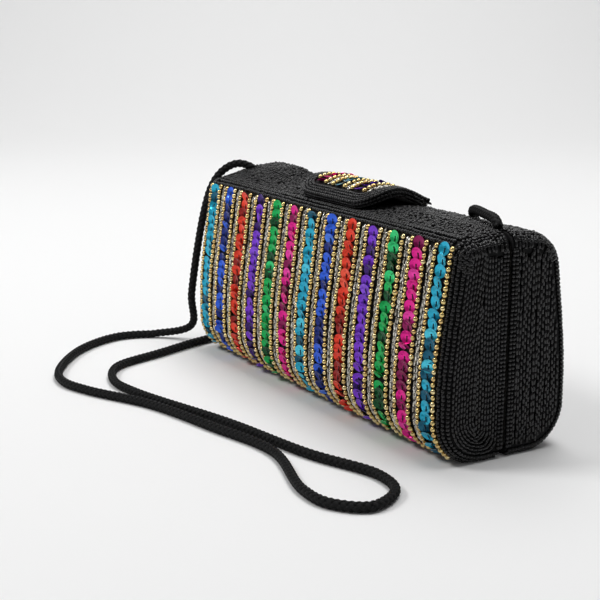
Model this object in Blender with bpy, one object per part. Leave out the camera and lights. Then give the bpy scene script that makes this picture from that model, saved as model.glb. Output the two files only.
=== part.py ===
"""Beaded clutch purse: two half shells hinged at the base, a closure tab over the top and a braided strap.

Metres, +Z up.  X runs along the purse, -Y is the striped front, and the base rests on Z = 0.
The back half stands still.  The front half turns about the base hinges, and the tab about its sewn edge.
"""

import math

import bmesh
import bpy
from mathutils import Matrix, Vector

MM = 0.001

# Outside size of the closed purse, measured on its beaded cover.
HALF_LENGTH = 103.0 * MM
HEIGHT = 88.0 * MM
BACK_DEPTH = 30.8 * MM
BEAD_STANDS_PROUD = 1.3 * MM
FRONT_DEPTH = BACK_DEPTH - BEAD_STANDS_PROUD
END_EDGE_RADIUS = 5.0 * MM

# The outline of one half, seen from its end: how deep and how high each corner is.
TOP_EDGE_HEIGHT = 85.3 * MM
TOP_EDGE_SETBACK = 7.0 * MM
BULGE_HEIGHT = 38.0 * MM
BULGE_SETBACK = 0.2 * MM
BULGE_RADIUS = 200.0 * MM
FRONT_TOP_RADIUS = 5.0 * MM
BACK_TOP_RADIUS = 14.0 * MM
BASE_RADIUS = 18.0 * MM
SMALLEST_RADIUS = 0.6 * MM

# Layers of each half, as distances in from the outside of the cover.
COVER_THICKNESS = 2.2 * MM
SHELL_INSET = 2.5 * MM
SHELL_THICKNESS = 1.5 * MM
LINING_INSET = 4.4 * MM
LINING_THICKNESS = 0.8 * MM
FRAME_INSET = 2.8 * MM
FRAME_WIDTH = 2.1 * MM

# How far behind the seam plane each layer starts.
COVER_START = 0.9 * MM
FRAME_START = 0.3 * MM
FRAME_END = 2.0 * MM
SHELL_START = 2.3 * MM
GAP = 0.3 * MM

# Steps along each rounded stretch.
TOP_STEPS = 4
BULGE_STEPS = 3
BASE_STEPS = 5
END_STEPS = 3
CURVE_STEPS = 20

# Stripes on the front: thirteen strings of sequins with bands of bead strings between them.
SEQUIN_STRINGS = 13
STRIPE_PITCH = 15.55 * MM
SEQUIN_BAND_HALF = 3.1 * MM
BEAD_FROM_SEQUIN = 4.6 * MM
BEAD_RADIUS = 1.25 * MM
SEQUIN_THICKNESS = 0.9 * MM
STRIPE_TOP = 84.0 * MM
STRIPE_FOOT = 1.6 * MM
BAND_HALF = STRIPE_PITCH / 2 - BEAD_FROM_SEQUIN + BEAD_RADIUS
SILVER_RADIUS = 1.0 * MM
VALLEY_DEPTH = 0.65 * MM

# Base hinges.
HINGE_HEIGHT = 2.4 * MM
HINGE_CENTRES = {"left": -60.0 * MM, "right": 60.0 * MM}
KNUCKLE_RADIUS = 1.5 * MM
KNUCKLE_BORE = 0.78 * MM
PIN_RADIUS = 0.7 * MM
HINGE_HALF_LENGTH = 12.0 * MM
HINGE_CLEARANCE = 0.5 * MM
MIDDLE_KNUCKLE_HALF = 4.0 * MM
LEAF_WIDTH = 11.0 * MM
LEAF_WINDOW_LOW = 1.5 * MM
LEAF_WINDOW_HIGH = LINING_INSET - 0.2 * MM
LEAF_WINDOW_START = 1.0 * MM
LEAF_LOW = 2.7 * MM
LEAF_THICKNESS = 0.8 * MM
COVER_BASE_GAP = 1.9 * MM
FRAME_BRIDGE_HEIGHT = 4.2 * MM
FRAME_NOTCH_DEPTH = 3.0 * MM
HINGE_SIDES = 16

# How far a cutter reaches past what it cuts.
PAST = 2.0 * MM

# Closure tab: its top surface runs as (y, z) from the front tip, over the seam, to the sewn edge behind.
TAB_HALF_WIDTH = 30.0 * MM
TAB_CORNER_RADIUS = 13.0 * MM
TAB_PATH = [
    (-16.2, 89.6),
    (-10.5, 93.0),
    (-4.0, 95.2),
    (2.0, 95.2),
    (8.0, 93.0),
    (13.0, 90.6),
    (17.5, 88.7),
]
TAB_STATIONS = 18
TAB_PATH_STEPS = 400
TAB_COVER_THICKNESS = 1.0 * MM
TAB_CORE_THICKNESS = 0.8 * MM
TAB_CORE_MARGIN = 1.2 * MM
TAB_BACKING_THICKNESS = 0.5 * MM
TAB_BACKING_MARGIN = 0.9 * MM
TAB_HINGE = (0.0, 16.6 * MM, 85.9 * MM)
TAB_SEQUIN_CENTRES = {"pink": -17.5 * MM, "cyan": -2.0 * MM, "violet": 13.5 * MM}
TAB_STRING_START = 3.0 * MM
TAB_STRING_FROM_EDGE = 2.0 * MM

# Magnetic catch: a magnet in the tab's tip, and a steel plate under the top of the front half.
MAGNET_RADIUS = 4.0 * MM
MAGNET_SET_BACK = 7.5 * MM
MAGNET_CLEARANCE = 0.5 * MM
MAGNET_THINNER = 0.05 * MM
PLATE_RADIUS = 5.0 * MM
PLATE_DEPTH = 11.0 * MM
PLATE_THICKNESS = 0.9 * MM
ROUND_SIDES = 24

# Slip pocket on the back wall of the lining.
POCKET_HALF_WIDTH = 55.0 * MM
POCKET_LOW = 22.0 * MM
POCKET_HIGH = 62.0 * MM
POCKET_DEPTH = 2.6 * MM
POCKET_SHEET = 0.6 * MM

# Strap: a braided cord held by an eyelet at each end of the top.
CORD_RADIUS = 2.0 * MM
CORD_STEP = 13.8 * MM
CORD_END_STEP = 3.4 * MM
CORD_LOWEST = CORD_RADIUS + 0.05 * MM
EYELET_X = 95.0 * MM
EYELET_Y = 0.6 * MM
EYELET_RADIUS = 2.6 * MM
EYELET_LOW = 85.5 * MM
EYELET_HIGH = 87.0 * MM
EYELET_CLEARANCE = 0.35 * MM
CORD_ROUTE = [
    (-95.0, 0.6, 88.7),
    (-96.8, -1.7, 91.4),
    (-101.3, -7.0, 93.2),
    (-105.7, -12.9, 90.0),
    (-108.0, -19.5, 80.5),
    (-108.5, -31.0, 28.0),
    (-116.0, -28.0, 8.5),
    (-131.0, -41.5, 2.4),
    (-136.6, -60.0, 2.1),
    (-123.0, -86.0, 2.1),
    (-89.0, -110.6, 2.1),
    (-72.0, -113.8, 2.1),
    (-55.0, -108.9, 2.1),
    (-22.0, -93.0, 2.1),
    (18.0, -83.4, 2.1),
    (56.0, -76.2, 2.1),
    (97.0, -86.6, 2.1),
    (112.0, -85.2, 2.1),
    (122.4, -74.0, 2.1),
    (114.5, -58.6, 2.1),
    (98.5, -54.8, 2.1),
    (66.0, -65.6, 2.1),
    (18.0, -75.2, 2.1),
    (-42.0, -91.8, 2.1),
    (-63.0, -93.2, 2.1),
    (-84.0, -83.0, 2.1),
    (-96.0, -55.0, 2.1),
    (-109.0, -20.0, 2.1),
    (-111.4, 14.0, 2.1),
    (-90.0, 43.5, 2.1),
    (14.0, 41.0, 2.3),
    (44.0, 39.2, 5.0),
    (49.5, 35.4, 24.0),
    (50.2, 28.4, 76.0),
    (54.6, 20.2, 87.4),
    (64.5, 13.6, 90.8),
    (78.6, 7.4, 91.5),
    (87.6, 3.8, 91.7),
    (92.2, 1.8, 91.0),
    (95.0, 0.6, 89.2),
]

BEAD_BLACK = (0.012, 0.012, 0.014)
SATIN_BLACK = (0.015, 0.015, 0.017)
CORD_BLACK = (0.01, 0.01, 0.011)
BOARD_GREY = (0.06, 0.055, 0.05)
GOLD = (0.85, 0.68, 0.36)
STEEL = (0.55, 0.55, 0.55)
SEQUIN_COLOURS = {
    "cyan": (0.05, 0.60, 0.78),
    "blue": (0.06, 0.18, 0.85),
    "red": (0.85, 0.08, 0.03),
    "violet": (0.22, 0.05, 0.65),
    "green": (0.01, 0.50, 0.12),
    "pink": (0.82, 0.03, 0.32),
}
SEQUIN_ORDER = ["cyan", "blue", "red", "violet", "green", "pink"]


def clear_scene():
    for old in list(bpy.data.objects):
        bpy.data.objects.remove(old, do_unlink=True)


def make_material(name, colour, roughness, metallic=0.0):
    material = bpy.data.materials.new(name)
    material.use_nodes = True
    shader = material.node_tree.nodes["Principled BSDF"]
    shader.inputs["Base Color"].default_value = (*colour, 1.0)
    shader.inputs["Roughness"].default_value = roughness
    shader.inputs["Metallic"].default_value = metallic
    return material


def add_solid(name, mesh, look, sharp_degrees=35.0):
    """Turns a bmesh into a smooth-shaded object with its faces pointing out."""
    bmesh.ops.recalc_face_normals(mesh, faces=mesh.faces)
    if mesh.calc_volume(signed=True) < 0:
        bmesh.ops.reverse_faces(mesh, faces=mesh.faces)
    data = bpy.data.meshes.new(name)
    mesh.to_mesh(data)
    mesh.free()
    data.materials.append(make_material(name, *look))
    data.shade_smooth()
    data.set_sharp_from_angle(angle=math.radians(sharp_degrees))
    solid = bpy.data.objects.new(name, data)
    bpy.context.scene.collection.objects.link(solid)
    return solid


def as_cutter(solid):
    solid.hide_render = True
    solid.display_type = "WIRE"
    return solid


def cut(solid, cutter):
    boolean = solid.modifiers.new("cut by " + cutter.name, "BOOLEAN")
    boolean.operation = "DIFFERENCE"
    boolean.solver = "EXACT"
    boolean.object = cutter


def join(solid, other):
    boolean = solid.modifiers.new("joined to " + other.name, "BOOLEAN")
    boolean.operation = "UNION"
    boolean.solver = "EXACT"
    boolean.object = other


def box_mesh(low, high):
    mesh = bmesh.new()
    bmesh.ops.create_cube(mesh, size=1.0)
    centre = (Vector(low) + Vector(high)) / 2
    size = Vector(high) - Vector(low)
    place = Matrix.Translation(centre) @ Matrix.Diagonal((*size, 1.0))
    bmesh.ops.transform(mesh, verts=mesh.verts, matrix=place)
    return mesh


def cylinder_mesh(start, end, radius, sides=HINGE_SIDES):
    mesh = bmesh.new()
    along = Vector(end) - Vector(start)
    turn = along.to_track_quat("Z", "Y").to_matrix().to_4x4()
    place = Matrix.Translation((Vector(start) + Vector(end)) / 2) @ turn
    bmesh.ops.create_cone(
        mesh,
        cap_ends=True,
        segments=sides,
        radius1=radius,
        radius2=radius,
        depth=along.length,
        matrix=place,
    )
    return mesh


def outline_corners(side):
    """Corners (depth from the seam, height) of one half seen from its end, from the top to the base."""
    depth = FRONT_DEPTH if side == "front" else BACK_DEPTH
    top_radius = FRONT_TOP_RADIUS if side == "front" else BACK_TOP_RADIUS
    corners = [
        Vector((0.0, HEIGHT)),
        Vector((depth - TOP_EDGE_SETBACK, TOP_EDGE_HEIGHT)),
        Vector((depth - BULGE_SETBACK, BULGE_HEIGHT)),
        Vector((depth, 0.0)),
        Vector((0.0, 0.0)),
    ]
    radii = [top_radius, BULGE_RADIUS, BASE_RADIUS]
    return corners, radii


def inward(a, b):
    """Normal that points into the purse from the outline's edge a to b."""
    along = (b - a).normalized()
    return Vector((along.y, -along.x))


def meeting_point(a, b, c, d):
    """Where the line through a and b meets the line through c and d."""
    first = b - a
    second = d - c
    share = (c - a).cross(second) / first.cross(second)
    return a + first * share


def outline(side, inset, start):
    """Points (depth, height) and inward normals along one half's outline, moved in by inset.

    It starts and ends at a depth of start behind the seam.
    """
    corners, radii = outline_corners(side)
    edges = [
        (a + inward(a, b) * inset, b + inward(a, b) * inset)
        for a, b in zip(corners, corners[1:])
    ]
    seam = (Vector((start, 0.0)), Vector((start, HEIGHT)))
    points = [(meeting_point(*edges[0], *seam), inward(*edges[0]))]
    steps = [TOP_STEPS, BULGE_STEPS, BASE_STEPS]
    for index, (radius, count) in enumerate(zip(radii, steps)):
        before, after = edges[index], edges[index + 1]
        corner = meeting_point(*before, *after)
        radius = max(radius - inset, SMALLEST_RADIUS)
        from_normal, to_normal = inward(*before), inward(*after)
        half_turn = from_normal.angle(to_normal) / 2
        middle = (from_normal + to_normal).normalized()
        centre = corner + middle * radius / math.cos(half_turn)
        for step in range(count + 1):
            normal = from_normal.slerp(to_normal, step / count)
            points.append((centre - normal * radius, normal))
    points.append((meeting_point(*edges[-1], *seam), inward(*edges[-1])))
    return points


def end_stations(inset):
    """(x, further inset) from end to end: the ends are rounded over like the edge of a cushion."""
    half = HALF_LENGTH - inset
    radius = max(END_EDGE_RADIUS - inset, SMALLEST_RADIUS)
    one_end = []
    for step in range(END_STEPS + 1):
        angle = math.pi / 2 * step / END_STEPS
        one_end.append((half - radius + radius * math.sin(angle), radius * (1 - math.cos(angle))))
    return [(-x, further) for x, further in reversed(one_end)] + one_end


def tray_skin(mesh, side, inset, start):
    """The grid of points over one half at this inset."""
    sign = -1.0 if side == "front" else 1.0
    return [
        [
            mesh.verts.new((x, sign * point.x, point.y))
            for point, normal in outline(side, inset + further, start)
        ]
        for x, further in end_stations(inset)
    ]


def tray(name, side, inset, thickness, start, look):
    """One half's layer: an open tray whose mouth is the seam."""
    mesh = bmesh.new()
    outer = tray_skin(mesh, side, inset, start)
    inner = tray_skin(mesh, side, inset + thickness, start)
    for skin in (outer, inner):
        for row, following in zip(skin, skin[1:]):
            for k in range(len(row) - 1):
                mesh.faces.new((row[k], row[k + 1], following[k + 1], following[k]))
        mesh.faces.new(skin[0])
        mesh.faces.new(skin[-1])
    for end in (0, -1):
        for station in range(len(outer) - 1):
            mesh.faces.new(
                (outer[station][end], outer[station + 1][end], inner[station + 1][end], inner[station][end])
            )
        mesh.faces.new((outer[end][0], outer[end][-1], inner[end][-1], inner[end][0]))
    return add_solid(name, mesh, look)


def rounded_rectangle(half_length, low, high, radius):
    """Points (x, z) round a rectangle with round corners."""
    centres = [
        (half_length - radius, high - radius, 0.0),
        (-half_length + radius, high - radius, 90.0),
        (-half_length + radius, low + radius, 180.0),
        (half_length - radius, low + radius, 270.0),
    ]
    points = []
    for x, z, first in centres:
        for step in range(END_STEPS + 1):
            angle = math.radians(first + 90.0 * step / END_STEPS)
            points.append((x + radius * math.cos(angle), z + radius * math.sin(angle)))
    return points


def rim_frame(name, side, look):
    """Flat metal frame that stiffens the mouth of one half."""
    sign = -1.0 if side == "front" else 1.0
    rings = []
    mesh = bmesh.new()
    for inset in (FRAME_INSET, FRAME_INSET + FRAME_WIDTH):
        radius = max(END_EDGE_RADIUS - inset, SMALLEST_RADIUS)
        path = rounded_rectangle(HALF_LENGTH - inset, inset, HEIGHT - inset, radius)
        for depth in (FRAME_START, FRAME_END):
            rings.append([mesh.verts.new((x, sign * depth, z)) for x, z in path])
    outer_front, outer_back, inner_front, inner_back = rings
    for a, b in (
        (outer_front, outer_back),
        (outer_back, inner_back),
        (inner_back, inner_front),
        (inner_front, outer_front),
    ):
        for k in range(len(a)):
            after = (k + 1) % len(a)
            mesh.faces.new((a[k], a[after], b[after], b[k]))
    return add_solid(name, mesh, look)


def face_stretch(side, low, high):
    """The part of one half's outline between two heights, as (point, inward normal)."""
    whole = outline(side, 0.0, 0.0)
    kept = []
    for (a, a_normal), (b, b_normal) in zip(whole, whole[1:]):
        for level in (high, low):
            if (a.y - level) * (b.y - level) < 0:
                share = (a.y - level) / (a.y - b.y)
                kept.append((a.lerp(b, share), a_normal.lerp(b_normal, share).normalized()))
        if low < b.y < high:
            kept.append((b, b_normal))
    return kept


def flat_section(x_low, x_high, outer, inner):
    """Section of a flat strip as (x, inset) corners. A negative inset stands proud of the cover."""
    return [(x_low, outer), (x_high, outer), (x_high, inner), (x_low, inner)]


def ribbed_section(ribs, outer, inner):
    """Section of a strip with one rib for each bead string, given as (centre, radius)."""
    section = []
    for centre, radius in ribs:
        valley = outer + VALLEY_DEPTH
        section += [(centre - radius, valley), (centre, outer), (centre + radius, valley)]
    return section + [(section[-1][0], inner), (section[0][0], inner)]


def strip_mesh(side, section, low, high):
    """A strip with this section that follows one half's wall."""
    sign = -1.0 if side == "front" else 1.0
    mesh = bmesh.new()
    rings = []
    for point, normal in face_stretch(side, low, high):
        ring = []
        for x, inset in section:
            place = point + normal * inset
            ring.append(mesh.verts.new((x, sign * place.x, place.y)))
        rings.append(ring)
    return skin_rings(mesh, rings)


def skin_rings(mesh, rings):
    """Joins rings of equal length into a closed tube with flat ends."""
    for ring, following in zip(rings, rings[1:]):
        for k in range(len(ring)):
            after = (k + 1) % len(ring)
            mesh.faces.new((ring[k], ring[after], following[after], following[k]))
    mesh.faces.new(rings[0])
    mesh.faces.new(rings[-1])
    return mesh


def striped_front():
    """Strings of sequins, and between them the bands of gold and silver bead strings."""
    pieces = []
    for index in range(SEQUIN_STRINGS):
        centre = (index - (SEQUIN_STRINGS - 1) / 2) * STRIPE_PITCH
        colour = SEQUIN_ORDER[index % len(SEQUIN_ORDER)]
        section = flat_section(
            centre - SEQUIN_BAND_HALF, centre + SEQUIN_BAND_HALF, -GAP - SEQUIN_THICKNESS, -GAP
        )
        strip = strip_mesh("front", section, STRIPE_FOOT, STRIPE_TOP)
        look = (SEQUIN_COLOURS[colour], 0.25, 0.6)
        pieces.append(add_solid(f"sequin_string_{index + 1:02d}_{colour}", strip, look))
    for index in range(SEQUIN_STRINGS + 1):
        middle = (index - SEQUIN_STRINGS / 2) * STRIPE_PITCH
        gold_left = (middle - STRIPE_PITCH / 2 + BEAD_FROM_SEQUIN, BEAD_RADIUS)
        gold_right = (middle + STRIPE_PITCH / 2 - BEAD_FROM_SEQUIN, BEAD_RADIUS)
        ribs = [gold_left, (middle, SILVER_RADIUS), gold_right]
        if index == 0:
            ribs = [gold_right]
        if index == SEQUIN_STRINGS:
            ribs = [gold_left]
        strip = strip_mesh("front", ribbed_section(ribs, -BEAD_STANDS_PROUD, -GAP), STRIPE_FOOT, STRIPE_TOP)
        pieces.append(add_solid(f"bead_band_{index + 1:02d}", strip, (GOLD, 0.3, 0.9)))
    return pieces


def smooth_path(points, count):
    """Evenly spaced points on a smooth curve through the given ones (Catmull-Rom, by chord length)."""
    points = [Vector(p) for p in points]
    padded = [points[0] * 2 - points[1]] + points + [points[-1] * 2 - points[-2]]
    fine = []
    for a, b, c, d in zip(padded, padded[1:], padded[2:], padded[3:]):
        knots = [0.0]
        for p, q in ((a, b), (b, c), (c, d)):
            knots.append(knots[-1] + math.sqrt((q - p).length))
        for step in range(CURVE_STEPS):
            t = knots[1] + (knots[2] - knots[1]) * step / CURVE_STEPS
            ab = a.lerp(b, (t - knots[0]) / (knots[1] - knots[0]))
            bc = b.lerp(c, (t - knots[1]) / (knots[2] - knots[1]))
            cd = c.lerp(d, (t - knots[2]) / (knots[3] - knots[2]))
            abc = ab.lerp(bc, (t - knots[0]) / (knots[2] - knots[0]))
            bcd = bc.lerp(cd, (t - knots[1]) / (knots[3] - knots[1]))
            fine.append(abc.lerp(bcd, (t - knots[1]) / (knots[2] - knots[1])))
    fine.append(points[-1])
    travelled = [0.0]
    for p, q in zip(fine, fine[1:]):
        travelled.append(travelled[-1] + (q - p).length)
    even = []
    piece = 0
    for k in range(count):
        target = travelled[-1] * k / (count - 1)
        while piece < len(fine) - 2 and travelled[piece + 1] < target:
            piece += 1
        share = (target - travelled[piece]) / (travelled[piece + 1] - travelled[piece])
        even.append(fine[piece].lerp(fine[piece + 1], min(max(share, 0.0), 1.0)))
    return even, travelled[-1]


def tab_stations(margin=0.0):
    """(place along the tab, point (y, z), downward normal, half width) from the front tip to the sewn edge.

    The stations cover the tab's shape set in by margin all round.
    """
    path, length = smooth_path([(y * MM, z * MM) for y, z in TAB_PATH], TAB_PATH_STEPS + 1)
    radius = TAB_CORNER_RADIUS - margin
    stations = []
    for k in range(TAB_STATIONS):
        from_tip = (length - 2 * margin) * k / (TAB_STATIONS - 1)
        spot = round((margin + from_tip) / length * TAB_PATH_STEPS)
        along = (path[min(spot + 1, TAB_PATH_STEPS)] - path[max(spot - 1, 0)]).normalized()
        down = Vector((along.y, -along.x))
        rest = max(radius - from_tip, 0.0)
        lost = radius - math.sqrt(radius**2 - rest**2)
        stations.append((margin + from_tip, path[spot], down, TAB_HALF_WIDTH - margin - lost))
    return stations


def tab_layer_mesh(inset, thickness, margin):
    """One layer of the tab, between two depths below its top surface and set in by margin at its edges."""
    mesh = bmesh.new()
    rings = []
    for travelled, point, down, half in tab_stations(margin):
        upper = point + down * inset
        lower = point + down * (inset + thickness)
        ring = [
            mesh.verts.new((x, place.x, place.y))
            for x, place in ((-half, upper), (half, upper), (half, lower), (-half, lower))
        ]
        rings.append(ring)
    return skin_rings(mesh, rings)


def tab_strip_mesh(centre, half_width, outer, inner):
    """A strip along the tab between two depths below its top surface. A negative depth stands proud."""
    mesh = bmesh.new()
    rings = []
    corners = [
        (centre - half_width, outer),
        (centre + half_width, outer),
        (centre + half_width, inner),
        (centre - half_width, inner),
    ]
    for travelled, point, down, width in tab_stations():
        reach = abs(centre) + half_width + TAB_STRING_FROM_EDGE
        if reach > width or travelled < TAB_STRING_START:
            continue
        places = [(x, point + down * depth) for x, depth in corners]
        rings.append([mesh.verts.new((x, place.x, place.y)) for x, place in places])
    return skin_rings(mesh, rings)


def place_on_tab(set_back):
    """Point and downward direction on the tab's middle line, set back from its tip."""
    stations = tab_stations()
    travelled, point, down, width = min(stations, key=lambda item: abs(item[0] - set_back))
    return Vector((0.0, point.x, point.y)), Vector((0.0, down.x, down.y))


def closure_tab():
    """Cover, board core with its magnet, backing and sequin strings of the tab."""
    core_inset = TAB_COVER_THICKNESS + GAP
    core_foot = core_inset + TAB_CORE_THICKNESS
    cover_mesh = tab_layer_mesh(0.0, TAB_COVER_THICKNESS, 0.0)
    core_mesh = tab_layer_mesh(core_inset, TAB_CORE_THICKNESS, TAB_CORE_MARGIN)
    backing_mesh = tab_layer_mesh(core_foot + GAP, TAB_BACKING_THICKNESS, TAB_BACKING_MARGIN)
    cover = add_solid("tab_cover", cover_mesh, (BEAD_BLACK, 0.3))
    core = add_solid("tab_core", core_mesh, (BOARD_GREY, 0.8))
    backing = add_solid("tab_backing", backing_mesh, (SATIN_BLACK, 0.5))
    point, down = place_on_tab(MAGNET_SET_BACK)
    pocket = cylinder_mesh(
        point + down * (core_inset - MAGNET_CLEARANCE),
        point + down * (core_foot + MAGNET_CLEARANCE),
        MAGNET_RADIUS + MAGNET_CLEARANCE,
        ROUND_SIDES,
    )
    cut(core, as_cutter(add_solid("magnet_pocket", pocket, (STEEL, 0.4))))
    magnet_mesh = cylinder_mesh(
        point + down * (core_inset + MAGNET_THINNER),
        point + down * (core_foot - MAGNET_THINNER),
        MAGNET_RADIUS,
        ROUND_SIDES,
    )
    magnet = add_solid("tab_magnet", magnet_mesh, (STEEL, 0.3, 1.0))
    pieces = [cover, core, backing, magnet]
    for colour, centre in TAB_SEQUIN_CENTRES.items():
        strip = tab_strip_mesh(centre, SEQUIN_BAND_HALF, -GAP - SEQUIN_THICKNESS, -GAP)
        pieces.append(add_solid(f"tab_sequin_string_{colour}", strip, (SEQUIN_COLOURS[colour], 0.25, 0.6)))
    return pieces


def hinge_leaf(name, side, centre):
    """A butt hinge's leaf: a flat plate let into the board, with its knuckles round the pin."""
    sign = -1.0 if side == "front" else 1.0
    edge = MIDDLE_KNUCKLE_HALF + GAP / 2
    spans = [(-edge + GAP, edge - GAP)]
    if side == "back":
        spans = [(-HINGE_HALF_LENGTH, -edge), (edge, HINGE_HALF_LENGTH)]
    near = KNUCKLE_RADIUS + GAP
    leaf_high = LEAF_LOW + LEAF_THICKNESS
    ys = sorted((sign * near, sign * LEAF_WIDTH))
    plate_mesh = box_mesh(
        (centre - HINGE_HALF_LENGTH, ys[0], LEAF_LOW), (centre + HINGE_HALF_LENGTH, ys[1], leaf_high)
    )
    plate = add_solid(name, plate_mesh, (STEEL, 0.35, 1.0))
    for number, (low, high) in enumerate(spans):
        arm_ys = sorted((sign * GAP, sign * (near + GAP)))
        arm = box_mesh((centre + low, arm_ys[0], LEAF_LOW), (centre + high, arm_ys[1], leaf_high))
        join(plate, as_cutter(add_solid(f"{name}_arm_{number}", arm, (STEEL, 0.4))))
        barrel = cylinder_mesh(
            (centre + low, 0.0, HINGE_HEIGHT), (centre + high, 0.0, HINGE_HEIGHT), KNUCKLE_RADIUS
        )
        join(plate, as_cutter(add_solid(f"{name}_barrel_{number}", barrel, (STEEL, 0.4))))
    reach = HINGE_HALF_LENGTH + PAST
    bore = cylinder_mesh(
        (centre - reach, 0.0, HINGE_HEIGHT), (centre + reach, 0.0, HINGE_HEIGHT), KNUCKLE_BORE
    )
    cut(plate, as_cutter(add_solid(f"{name}_bore", bore, (STEEL, 0.4))))
    return plate


def hinge_pin(name, centre):
    pin = cylinder_mesh(
        (centre - HINGE_HALF_LENGTH, 0.0, HINGE_HEIGHT),
        (centre + HINGE_HALF_LENGTH, 0.0, HINGE_HEIGHT),
        PIN_RADIUS,
    )
    return add_solid(name, pin, (STEEL, 0.25, 1.0))


def make_half(side):
    """Cover, board shell, lining and rim frame of one half, with room for the hinges and eyelets."""
    cover = tray(f"{side}_cover", side, 0.0, COVER_THICKNESS, COVER_START, (BEAD_BLACK, 0.3))
    shell = tray(f"{side}_shell", side, SHELL_INSET, SHELL_THICKNESS, SHELL_START, (BOARD_GREY, 0.8))
    lining = tray(f"{side}_lining", side, LINING_INSET, LINING_THICKNESS, SHELL_START, (SATIN_BLACK, 0.45))
    frame = rim_frame(f"{side}_rim_frame", side, (STEEL, 0.35, 1.0))
    sign = -1.0 if side == "front" else 1.0

    base_gap = box_mesh(
        (-HALF_LENGTH - PAST, -COVER_BASE_GAP, -PAST), (HALF_LENGTH + PAST, COVER_BASE_GAP, SHELL_INSET)
    )
    cut(cover, as_cutter(add_solid(f"{side}_base_gap", base_gap, (STEEL, 0.4))))
    for end, x in (("left", -EYELET_X), ("right", EYELET_X)):
        hole = cylinder_mesh(
            (x, EYELET_Y, EYELET_LOW - EYELET_CLEARANCE),
            (x, EYELET_Y, HEIGHT + PAST),
            EYELET_RADIUS + EYELET_CLEARANCE,
            ROUND_SIDES,
        )
        cut(cover, as_cutter(add_solid(f"{side}_eyelet_hole_{end}", hole, (STEEL, 0.4))))
    for end, centre in HINGE_CENTRES.items():
        reach = HINGE_HALF_LENGTH + HINGE_CLEARANCE
        notch = box_mesh(
            (centre - reach, -FRAME_NOTCH_DEPTH, 0.0),
            (centre + reach, FRAME_NOTCH_DEPTH, FRAME_BRIDGE_HEIGHT),
        )
        cut(frame, as_cutter(add_solid(f"{side}_hinge_notch_{end}", notch, (STEEL, 0.4))))
        ys = sorted((sign * LEAF_WINDOW_START, sign * (LEAF_WIDTH + HINGE_CLEARANCE)))
        window = box_mesh(
            (centre - reach, ys[0], LEAF_WINDOW_LOW), (centre + reach, ys[1], LEAF_WINDOW_HIGH)
        )
        cut(shell, as_cutter(add_solid(f"{side}_leaf_window_{end}", window, (STEEL, 0.4))))
    return [cover, shell, lining, frame]


def catch_plate(front_shell):
    """Steel plate let into the top of the front shell, under the tab's magnet."""
    top = outline("front", 0.0, 0.0)
    normal = Vector((0.0, -top[0][1].x, top[0][1].y))
    slope = (TOP_EDGE_HEIGHT - HEIGHT) / (FRONT_DEPTH - TOP_EDGE_SETBACK)
    surface = Vector((0.0, -PLATE_DEPTH, HEIGHT + slope * PLATE_DEPTH))
    middle = surface + normal * (SHELL_INSET + SHELL_THICKNESS / 2)
    reach = normal * SHELL_THICKNESS
    pocket = cylinder_mesh(middle - reach, middle + reach, PLATE_RADIUS + MAGNET_CLEARANCE, ROUND_SIDES)
    cut(front_shell, as_cutter(add_solid("plate_pocket", pocket, (STEEL, 0.4))))
    half = normal * PLATE_THICKNESS / 2
    plate = cylinder_mesh(middle - half, middle + half, PLATE_RADIUS, ROUND_SIDES)
    return add_solid("catch_plate", plate, (STEEL, 0.3, 1.0))


def slip_pocket():
    """Flat pocket on the back wall, open at its top."""
    outer = LINING_INSET + LINING_THICKNESS + GAP
    inner = outer + POCKET_DEPTH
    section = flat_section(-POCKET_HALF_WIDTH, POCKET_HALF_WIDTH, outer, inner)
    body = strip_mesh("back", section, POCKET_LOW, POCKET_HIGH)
    pocket = add_solid("slip_pocket", body, (SATIN_BLACK, 0.45))
    half = POCKET_HALF_WIDTH - POCKET_SHEET
    room_section = flat_section(-half, half, outer - POCKET_SHEET, inner - POCKET_SHEET)
    room = strip_mesh("back", room_section, POCKET_LOW + POCKET_SHEET, POCKET_HIGH + POCKET_DEPTH)
    cut(pocket, as_cutter(add_solid("pocket_room", room, (SATIN_BLACK, 0.5))))
    return pocket


def strap():
    """The two eyelets, and the cord as it lies: from the left eyelet to the floor and back up."""
    for end, x in (("left", -EYELET_X), ("right", EYELET_X)):
        foot = (x, EYELET_Y, EYELET_LOW)
        collar = cylinder_mesh(foot, (x, EYELET_Y, EYELET_HIGH), EYELET_RADIUS, ROUND_SIDES)
        add_solid(f"strap_eyelet_{end}", collar, (STEEL, 0.35, 1.0))
    route = [(x * MM, y * MM, z * MM) for x, y, z in CORD_ROUTE]
    length = smooth_path(route, 2)[1]
    even = smooth_path(route, round(length / CORD_STEP) + 1)[0]
    fine = smooth_path(route, round(length / CORD_END_STEP) + 1)[0]
    path = fine[:4] + even[1:-1] + fine[-4:]
    for place in path:
        place.z = max(place.z, CORD_LOWEST)
    curve = bpy.data.curves.new("strap_cord", "CURVE")
    curve.dimensions = "3D"
    curve.bevel_depth = CORD_RADIUS
    curve.bevel_resolution = 2
    curve.use_fill_caps = True
    spline = curve.splines.new("POLY")
    spline.points.add(len(path) - 1)
    for target, place in zip(spline.points, path):
        target.co = (*place, 1.0)
    curve.materials.append(make_material("strap_cord", CORD_BLACK, 0.75))
    cord = bpy.data.objects.new("strap_cord", curve)
    bpy.context.scene.collection.objects.link(cord)


def hang_on_pivot(name, place, pieces):
    """Parents the pieces to an empty on their joint's axis, without moving them."""
    pivot = bpy.data.objects.new(name, None)
    pivot.location = place
    bpy.context.scene.collection.objects.link(pivot)
    for piece in pieces:
        piece.parent = pivot
        piece.matrix_parent_inverse = Matrix.Translation(-Vector(place))


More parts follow.
